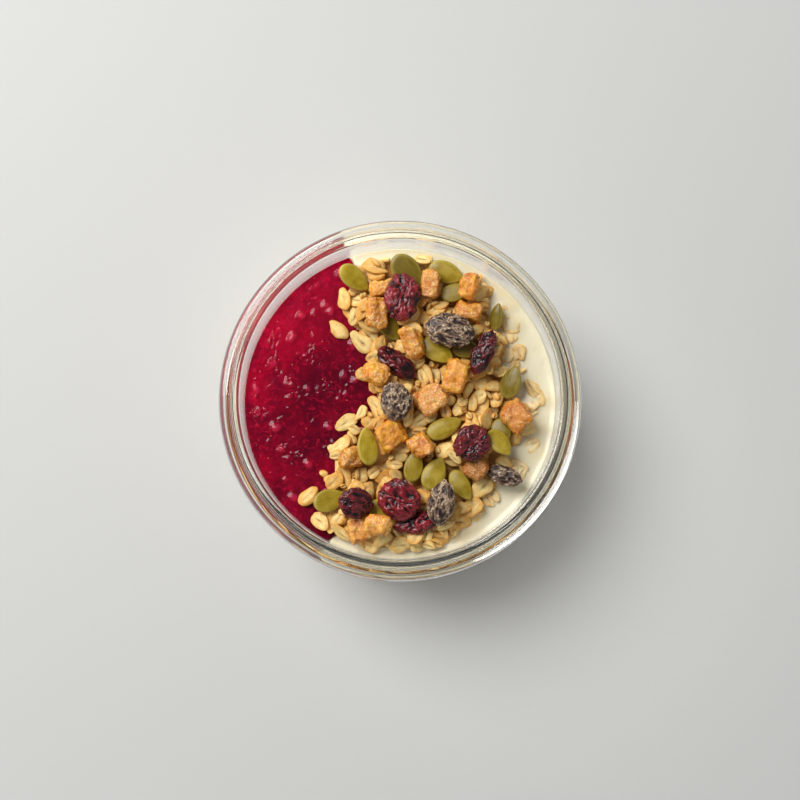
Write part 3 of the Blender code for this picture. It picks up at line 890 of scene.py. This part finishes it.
def scatter_flakes(pile, batch, rng, wanted, tries):
    """Fills the band of granola with flakes, the low places first."""
    dropper = Dropper(pile)
    rows, columns = np.nonzero(~np.isnan(pile.bed))
    placed = 0
    for _ in range(tries):
        if placed == wanted:
            break
        best = None
        for _ in range(4):
            x, y = pick_place(pile, rng, rows, columns, 0.7 * MM)
            length, width, thick = drawn(rng, FLAKE_SIZES)
            if rng.random() < 0.15:
                length, width = length * 0.65, width * 0.75
            if math.hypot(x, y) + length * 0.45 > inner_wall(LEVEL) - NEAR_WALL:
                continue
            spread = 0.5 if rng.random() < 0.2 else 0.18
            wild = rng.normal(0, spread, 2)
            turn = rng.uniform(0, math.tau)
            rotation, z, free = dropper.rest(x, y, turn, length, width, thick, wild)
            over = z + thick / 2 - pile.outline(x, y)
            if free < -MAY_TOUCH or over > 1.5 * MM:
                continue
            if best is None or over < best[0]:
                best = (over, x, y, z, rotation, length, width, thick)
        if best is None:
            continue
        _, x, y, z, rotation, length, width, thick = best
        add_flake(pile, batch, rng, rotation, (x, y, z), length, width, thick)
        placed += 1


def pick_place(pile, rng, rows, columns, spread):
    """A random place near one of the given cells of the pile."""
    pick = rng.integers(len(rows))
    return (pile.axis[rows[pick]] + rng.normal(0, spread),
            pile.axis[columns[pick]] + rng.normal(0, spread))


def add_flake(pile, batch, rng, rotation, place, length, width, thick, shape=FLAKE):
    points, crease, rim = oat_flake(shape, rng, length, width, thick)
    if rng.random() < 0.35:
        rotation = rotation @ np.diag([1.0, -1.0, -1.0])
    moved = settle(pile, points, shape.faces, rotation, place)
    own = points + rng.uniform(-1, 1, 3) * 60 * MM
    tone = np.full(len(points), rng.beta(2, 2))
    batch.add(moved, shape.faces, crease=crease, rim=rim, own=own, tone=tone)


def fill_below_fruit(pile, batch, rng, wanted):
    """Flakes in the gaps between the heap and the fruit and seeds that lie on it."""
    dropper = Dropper(pile)
    covered = (pile.ceiling < 1.0) & ~np.isnan(pile.bed)
    placed = 0
    for _ in range(wanted * 6):
        rows, columns = np.nonzero(covered & (pile.ceiling - pile.top > 1.3 * MM))
        if placed == wanted or not len(rows):
            break
        x, y = pick_place(pile, rng, rows, columns, 0.8 * MM)
        length, width, thick = drawn(rng, UNDER_SIZES)
        if math.hypot(x, y) + length * 0.45 > inner_wall(LEVEL) - NEAR_WALL:
            continue
        rotation, z, free = dropper.rest(x, y, rng.uniform(0, math.tau), length, width, thick,
                                         rng.normal(0, 0.2, 2))
        if free < -MAY_TOUCH:
            continue
        add_flake(pile, batch, rng, rotation, (x, y, z), length, width, thick, CHIP)
        placed += 1


def scatter_chips(pile, batch, rng, wanted):
    """Broken bits of flake, over the heap and just past its edges."""
    dropper = Dropper(pile)
    rows, columns = np.nonzero(~np.isnan(pile.bed))
    placed = 0
    for _ in range(wanted * 5):
        x, y = pick_place(pile, rng, rows, columns, 1.6 * MM)
        length, width = drawn(rng, CHIP_SIZES[:2])
        if math.hypot(x, y) > inner_wall(LEVEL) - 3 * MM:
            continue
        thick = drawn(rng, CHIP_SIZES[2:])[0]
        rotation, z, free = dropper.rest(x, y, rng.uniform(0, math.tau), length, width, thick,
                                         rng.normal(0, 0.35, 2))
        over = z - pile.outline(x, y)
        if free < 0 or over > 1.6 * MM:
            continue
        add_flake(pile, batch, rng, rotation, (x, y, z), length, width, thick, CHIP)
        placed += 1
        if placed == wanted:
            break


# ---- granola core --------------------------------------------------------------------
CORE_STEP = 3                   # cells of the pile between two points of the core


def make_core(pile, material):
    """What lies below the flakes: the heap, lower than its outline by the loose layer."""
    axis = pile.axis[::CORE_STEP]
    x, y = (grid.ravel() for grid in np.meshgrid(axis, axis, indexing="ij"))
    spots = flat_points(x, y)
    bed = pile.bed[::CORE_STEP, ::CORE_STEP].ravel()
    known = ~np.isnan(bed)
    bent = warped(spots, 3 * MM, 1.0 * MM, 41, ways=2)
    far, shade = nearest_dots(bent * (1.0, 1.3, 1.0), 4.6 * MM, seed=44)
    relief = 0.9 * MM * np.clip(1 - far / 0.75, 0, 1)**0.6
    top = np.maximum(bed - 2.3 * MM + relief, LEVEL + 0.25 * MM)
    side = len(axis)
    index = np.full(len(x), -1)
    inner = known.reshape(side, side)
    inner = inner[:-1, :-1] & inner[1:, :-1] & inner[:-1, 1:] & inner[1:, 1:]
    i, j = np.nonzero(inner)
    quads = np.stack([i * side + j, (i + 1) * side + j, (i + 1) * side + j + 1, i * side + j + 1],
                     axis=1)
    used = np.unique(quads)
    index[used] = np.arange(len(used))
    quads = index[quads]
    upper = np.stack([x[used], y[used], top[used]], axis=1)
    lower = upper.copy()
    lower[:, 2] = LEVEL - 1.0 * MM
    edges = np.concatenate([quads[:, [k, (k + 1) % 4]] for k in range(4)])
    keys = {tuple(edge) for edge in edges.tolist()}
    border = [(a, b) for a, b in keys if (b, a) not in keys]
    brim = {vert for edge in border for vert in edge}
    for vert in brim:
        upper[vert, 2] = LEVEL - 0.6 * MM
    faces = [tuple(quad) for quad in quads.tolist()]
    faces += [tuple(v + len(used) for v in quad[::-1]) for quad in quads.tolist()]
    faces += [(b, a, a + len(used), b + len(used)) for a, b in border]
    piece = new_piece("granola_core_painted_shade", np.concatenate([upper, lower]), faces, material,
                      "granola", "granola")
    # Painted shade: crease and rim darken the core away from its bumps, in the hollows between them
    near = np.clip(far[used], 0, 1)
    for name, above, below in (("own", upper, lower), ("crease", near * 0.9, near),
                               ("rim", near, near), ("tone", shade[used], shade[used])):
        add_attribute(piece, name, np.concatenate([above, below]))
    pile.top = np.fmax(pile.top, np.where(np.isnan(pile.bed), LEVEL, np.maximum(
        pile.bed - 1.7 * MM, LEVEL)))


# ---- fruit ---------------------------------------------------------------------------
def nodes_of(kind):
    names = [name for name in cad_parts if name.startswith(kind + "_")]
    return sorted(names, key=lambda name: int(name.rsplit("_", 1)[1]))


def fine_mesh(node, cell, smoothing):
    """Points, normals and quads of a CAD node's shape, remeshed evenly and smoothed."""
    work = bpy.data.objects.new("work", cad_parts[node].data.copy())
    bpy.context.scene.collection.objects.link(work)
    remesh = work.modifiers.new("even", "REMESH")
    remesh.mode = "VOXEL"
    remesh.voxel_size = cell
    soften = work.modifiers.new("soft", "SMOOTH")
    soften.factor = 0.5
    soften.iterations = smoothing
    bpy.context.view_layer.update()
    mesh = bpy.data.meshes.new_from_object(
        work.evaluated_get(bpy.context.evaluated_depsgraph_get()))
    points, normals = vectors(mesh.vertices, "co"), vectors(mesh.vertex_normals, "vector")
    corners = np.zeros(len(mesh.loops), np.int32)
    mesh.loops.foreach_get("vertex_index", corners)
    data = work.data
    bpy.data.objects.remove(work)
    bpy.data.meshes.remove(data)
    bpy.data.meshes.remove(mesh)
    return points, normals, corners.reshape(-1, 4)


def wrinkle(points, normals, seed, depth, size, rays, hollow, net):
    """Folds of a dried berry; returns the moved points and how far each is on a crest."""
    _, axes, _ = own_axes(points)
    local = (points - points.mean(0)) @ axes * (0.5, 1.0, 1.0)
    bent = warped(local, 2.6 * MM, 1.0 * MM, seed * 13)
    across = np.hypot(bent[:, 0], bent[:, 1]) + 0.3 * MM
    spokes = np.column_stack([bent[:, :2] / across[:, None] * 2.3, across / (7 * MM)])
    star = folds(spokes, 1.0, seed * 13 + 4, 1.6)
    wander = folds(bent, size, seed * 13 + 5, 1.6)
    fine = folds(bent, size * 0.45, seed * 13 + 6, 1.4)
    crest = np.clip(rays * star + (1 - rays) * wander, 0, 1) * (1 - net) + net * fine
    dent = hollow * np.exp(-(across / (2.4 * MM))**2) * np.clip(normals[:, 2], 0, 1)
    moved = points + normals * (depth * (crest - 0.5) - dent)[:, None]
    return moved, crest


def make_berries(kind, material, looks, cell, depth, size, net):
    batch = Batch()
    names = nodes_of(kind)
    for number, (node, (rays, hollow, tone)) in enumerate(zip(names, looks), 1):
        points, normals, faces = fine_mesh(node, cell, 5)
        moved, crest = wrinkle(points, normals, number + len(kind), depth, size, rays, hollow,
                               net)
        # crest also tells the material where to paint shade in the folds and light on the ridges
        batch.add(moved, faces, crest=crest, tone=np.full(len(points), tone))
    batch.make(kind + "_fruit", material, kind, *names)


def make_apricots(material, looks):
    batch = Batch()
    names = nodes_of("apricot")
    for number, (node, look) in enumerate(zip(names, looks), 1):
        points, normals, faces = fine_mesh(node, 0.32 * MM, 4)
        bent = warped(points, 3 * MM, 0.8 * MM, number * 7)
        lumps = 1.25 * layered_noise(bent, 3.6 * MM, 2, seed=number * 7 + 3)
        pits = folds(bent, 1.6 * MM, number * 7 + 5, 2.0)
        sugar = layered_noise(points, 0.9 * MM, 2, seed=number * 7 + 6)
        # crest is low in the pits and hollows, where the material paints shade
        crest = np.clip(0.55 + 0.4 * lumps - 0.3 * pits + 0.25 * sugar, 0, 1)
        shift = 0.62 * MM * lumps - 0.20 * MM * pits + 0.16 * MM * sugar + 0.25 * MM
        moved = points + normals * shift[:, None]
        tone, sugar, brown = (np.full(len(points), part) for part in look)
        batch.add(moved, faces, crest=crest, tone=tone, sugar=sugar, brown=brown)
    batch.make("apricot_dice", material, "apricot", *names)


# ---- pumpkin seeds -------------------------------------------------------------------
def pumpkin_kernel(rng, length, width, thick):
    """A flat kernel: pointed at one end, with a fine rim and a slightly uneven face."""
    u, v, radius = SEED.u, SEED.v, SEED.radius
    x = u * length / 2
    point_end = 1 - 0.20 * u - 0.16 * u * u - 0.10 * u**3
    y = v * point_end * width / 2 * 1.06
    flank = np.clip(1 - radius**2.6, 0, 1)**0.62
    edge = np.exp(-((radius - 0.90) / 0.07)**2)
    uneven = layered_noise(np.stack([x, y, np.full(len(x), rng.uniform(0, 1))], 1), 3.5 * MM, 2,
                           seed=int(rng.integers(1000)))
    face = thick / 2 * (0.14 + 0.80 * flank) + 0.08 * MM * edge + 0.09 * MM * uneven * flank
    bend = rng.normal(0, 0.006) / MM * x * x + rng.normal(0, 0.01) / MM * y * y
    points = np.concatenate([np.stack([x, y, face + bend], 1), np.stack([x, y, bend - face], 1)])
    return points, SEED.both(np.clip((radius - 0.75) / 0.25, 0, 1))


def own_axes(points):
    """Middle and axes of a seed: its length towards the point, its width, its thickness."""
    middle = points.mean(0)
    _, _, axes = np.linalg.svd(points - middle, full_matrices=False)
    along, across, up = axes
    spread = (points - middle) @ axes.T
    ahead = spread[:, 0] > 0
    if np.abs(spread[ahead, 1]).mean() > np.abs(spread[~ahead, 1]).mean():
        along = -along
    up = up if up[2] > 0 else -up
    across = np.cross(up, along)
    return middle, np.stack([along, across, up], axis=1), np.ptp(spread, axis=0)


def node_points(node):
    return np.unique(vectors(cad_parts[node].data.vertices, "co").round(7), axis=0)


def make_seeds(pile, rng, material):
    batch = Batch()
    names = nodes_of("pumpkin_seed")
    for node, shade in zip(names, SEED_SHADES):
        middle, axes, size = own_axes(node_points(node))
        points, rim = pumpkin_kernel(rng, size[0], size[1], max(size[2], 1.7 * MM))
        moved = settle(pile, points, SEED.faces, axes, middle)
        own = points + rng.uniform(-1, 1, 3) * 60 * MM
        batch.add(moved, SEED.faces, rim=rim, own=own, tone=np.full(len(points), shade))
    batch.make("pumpkin_seeds", material, "pumpkin_seed", *names)


def beside_heap(pile, rng, side, count, part, gap):
    """Places along one edge of the granola: about evenly spread, each a little off it."""
    low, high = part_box("granola")
    places = []
    for step in range(count):
        share = part[0] + (part[1] - part[0]) * (step + rng.uniform(0.1, 0.9)) / count
        y = low.y + share * (high.y - low.y)
        covered = pile.axis[~np.isnan(pile.bed[:, np.searchsorted(pile.axis, y)])]
        edge = covered.max() if side > 0 else covered.min()
        places.append((edge + side * rng.uniform(*gap), y))
    return places


# ---- putting it together -------------------------------------------------------------
# Loose flakes beside the heap: how many groups, along which part of it, how far off its edge.
ON_COMPOTE = (5, (0.06, 0.78), (1.0 * MM, 7.0 * MM))
IN_YOGURT = (14, (0.0, 0.88), (1.0 * MM, 6.0 * MM))
LOOSE_SEED = 4
FOOD_SEED = 11
CRISP = 38                      # edges of an oat flake sharper than this are shaded as edges
FLAKES, FLAKE_TRIES, UNDER_FRUIT, CHIPS = 470, 4500, 190, 170
# Wrinkles of a berry: mesh cell, depth, spacing, share of fine folds.
CRANBERRY_WRINKLES = (0.24 * MM, 1.15 * MM, 2.3 * MM, 0.38)
RAISIN_WRINKLES = (0.24 * MM, 0.85 * MM, 2.2 * MM, 0.5)
# How dark each pumpkin seed is, from 0 to 1.
SEED_SHADES = [1.0, 0.35, 0.2, 0.9, 0.8, 0.3, 0.35, 0.2, 0.2, 0.25, 0.4, 0.6, 0.7, 0.8, 0.4, 0.9,
               0.0, 0.0]

# How each berry is creased: share of radial folds, depth of its hollow, rosiness.
CRANBERRY_LOOKS = [(0.2, 0.2 * MM, 0.25), (0.1, 0.0, 0.0), (0.8, 0.9 * MM, 0.75),
                   (0.7, 1.3 * MM, 0.35), (0.3, 0.2 * MM, 0.9), (0.4, 0.6 * MM, 0.3),
                   (0.5, 1.1 * MM, 1.0)]
RAISIN_LOOKS = [(0.1, 0.0, 0.1), (0.2, 0.0, 0.5), (0.2, 0.0, 0.9), (0.2, 0.0, 1.0)]
# How each apricot cube looks: rosiness, sugar crust, brownness.
APRICOT_LOOKS = [(0.0, 0.6, 0.1), (0.0, 0.8, 0.0), (0.7, 0.5, 0.22), (0.3, 0.5, 0.65),
                 (0.0, 0.4, 0.0), (0.4, 0.5, 0.2), (0.0, 0.8, 0.1), (0.0, 0.7, 0.0),
                 (0.7, 0.8, 0.1), (0.0, 0.7, 0.2), (0.6, 0.7, 0.0), (0.1, 0.3, 0.0),
                 (0.7, 1.0, 0.0), (0.1, 0.5, 0.0), (0.0, 0.8, 0.0), (0.0, 0.7, 0.0)]


def make_food():
    rng = np.random.default_rng(FOOD_SEED)
    pile = Pile()
    for kind in ("cranberry", "raisin", "apricot", "pumpkin_seed"):
        for node in nodes_of(kind):
            pile.hang(node)
    loose = np.random.default_rng(LOOSE_SEED)
    on_compote = beside_heap(pile, loose, -1, *ON_COMPOTE)
    clusters, soaked = [], Batch()
    for x, y in beside_heap(pile, loose, 1, *IN_YOGURT):
        for _ in range(loose.integers(2, 5)):
            clusters.append((x + loose.normal(0, 1.8 * MM), y + loose.normal(0, 1.8 * MM)))
    spots = [(x, y, 2.6 * MM) for x, y in clusters]
    make_yogurt(spots)
    make_compote()

    pale, tan, crease = srgb(252, 228, 154), srgb(226, 164, 72), srgb(150, 92, 30)
    oats = oat_material("oat_flakes", pale, tan, crease)
    # Painted shade: the core under the flakes gets darker oat colours, standing in for the shade
    # between the flakes
    make_core(pile, oat_material("granola_core_painted_shade", srgb(222, 184, 112), srgb(188, 134, 60), crease))
    make_seeds(pile, rng, seed_material())

    flakes = Batch()
    dropper = Dropper(pile)
    for x, y in on_compote:
        size = (*drawn(loose, LOOSE_SIZES), LOOSE_THICK)
        rotation, z, _ = dropper.rest(x, y, loose.uniform(0, math.tau), *size,
                                      loose.normal(0, 0.05, 2))
        add_flake(pile, flakes, loose, rotation, (x, y, z), *size)
    scatter_flakes(pile, flakes, rng, FLAKES, FLAKE_TRIES)
    chips = Batch()
    fill_below_fruit(pile, chips, rng, UNDER_FRUIT)
    scatter_chips(pile, chips, rng, CHIPS)
    chips.make("oat_chips", oats, "granola", crisp=CRISP)
    flakes.make("oat_flakes", oats, "granola", crisp=CRISP)

    for x, y in clusters:
        if math.hypot(x, y) > inner_wall(LEVEL) - 4.5 * MM:
            continue
        size = (*drawn(rng, SOAKED_SIZES), SOAKED_THICK)
        rotation = tilted(rng.uniform(0, math.tau), *rng.normal(0, 0.12, 2))
        add_flake(pile, soaked, rng, rotation, (x, y, LEVEL + 0.25 * MM), *size)
    wet = oat_material("soaked_oats", srgb(250, 230, 178), srgb(226, 184, 112),
                       srgb(166, 114, 50))
    soaked.make("soaked_oats", wet, "granola", crisp=CRISP)

    make_berries("cranberry", cranberry_material(), CRANBERRY_LOOKS, *CRANBERRY_WRINKLES)
    make_berries("raisin", raisin_material(), RAISIN_LOOKS, *RAISIN_WRINKLES)
    make_apricots(apricot_material(), APRICOT_LOOKS)


# ---- floor, light and camera ---------------------------------------------------------
FLOOR_REACH = 3.0
FLOOR_COLOUR = (0.62, 0.62, 0.60, 1.0)
FLOOR_ROUGHNESS = 0.7
HORIZON, ZENITH = 0.72, 0.18    # brightness of the surroundings
SOFTBOX_SIZE = 0.75
SOFTBOX_POWER = 13.2
SOFTBOX_PLACE = (-0.53, 0.46, 0.87)
LIT_PLACE = (0, 0, 0.03)        # where the softbox points
VIEW_ELEVATION = math.radians(84.4)
VIEW_DISTANCE = 0.8
VIEW_TARGET = (0, 0, 51 * MM)
LENS, SENSOR = 118.8, 36.0


def make_stage():
    mesh = bpy.data.meshes.new("floor")
    corners = [(x * FLOOR_REACH, y * FLOOR_REACH, 0)
               for x, y in ((-1, -1), (1, -1), (1, 1), (-1, 1))]
    mesh.from_pydata(corners, [], [(0, 1, 2, 3)])
    floor = bpy.data.objects.new("floor", mesh)
    bpy.context.scene.collection.objects.link(floor)
    material = bpy.data.materials.new("floor")
    material.use_nodes = True
    shader = material.node_tree.nodes["Principled BSDF"]
    shader.inputs["Base Color"].default_value = FLOOR_COLOUR
    shader.inputs["Roughness"].default_value = FLOOR_ROUGHNESS
    mesh.materials.append(material)


def make_light():
    scene = bpy.context.scene
    world = bpy.data.worlds.new("soft")
    scene.world = world
    world.use_nodes = True
    nodes, links = world.node_tree.nodes, world.node_tree.links
    background = nodes["Background"]
    direction = nodes.new("ShaderNodeTexCoord")
    split = nodes.new("ShaderNodeSeparateXYZ")
    fade = nodes.new("ShaderNodeMapRange")
    fade.interpolation_type = "SMOOTHSTEP"
    for name, value in (("From Min", 0.0), ("From Max", 0.8), ("To Min", HORIZON),
                        ("To Max", ZENITH)):
        fade.inputs[name].default_value = value
    links.new(direction.outputs["Generated"], split.inputs[0])
    links.new(split.outputs["Z"], fade.inputs["Value"])
    links.new(fade.outputs["Result"], background.inputs["Strength"])
    background.inputs["Color"].default_value = (1.0, 1.0, 1.0, 1.0)
    light = bpy.data.lights.new("softbox", "AREA")
    light.shape = "DISK"
    light.size = SOFTBOX_SIZE
    light.energy = SOFTBOX_POWER
    box = bpy.data.objects.new("softbox", light)
    scene.collection.objects.link(box)
    box.location = SOFTBOX_PLACE
    box.rotation_euler = (Vector(LIT_PLACE) - box.location).to_track_quat("-Z", "Y").to_euler()
    scene.view_settings.view_transform = "Standard"


def make_camera():
    data = bpy.data.cameras.new("camera")
    data.lens, data.sensor_width = LENS, SENSOR
    camera = bpy.data.objects.new("camera", data)
    bpy.context.scene.collection.objects.link(camera)
    back = Vector((0, -math.cos(VIEW_ELEVATION), math.sin(VIEW_ELEVATION)))
    camera.location = Vector(VIEW_TARGET) + back * VIEW_DISTANCE
    camera.rotation_euler = (-back).to_track_quat("-Z", "Y").to_euler()
    bpy.context.scene.camera = camera


make_jar()
make_food()
make_stage()
make_light()
make_camera()
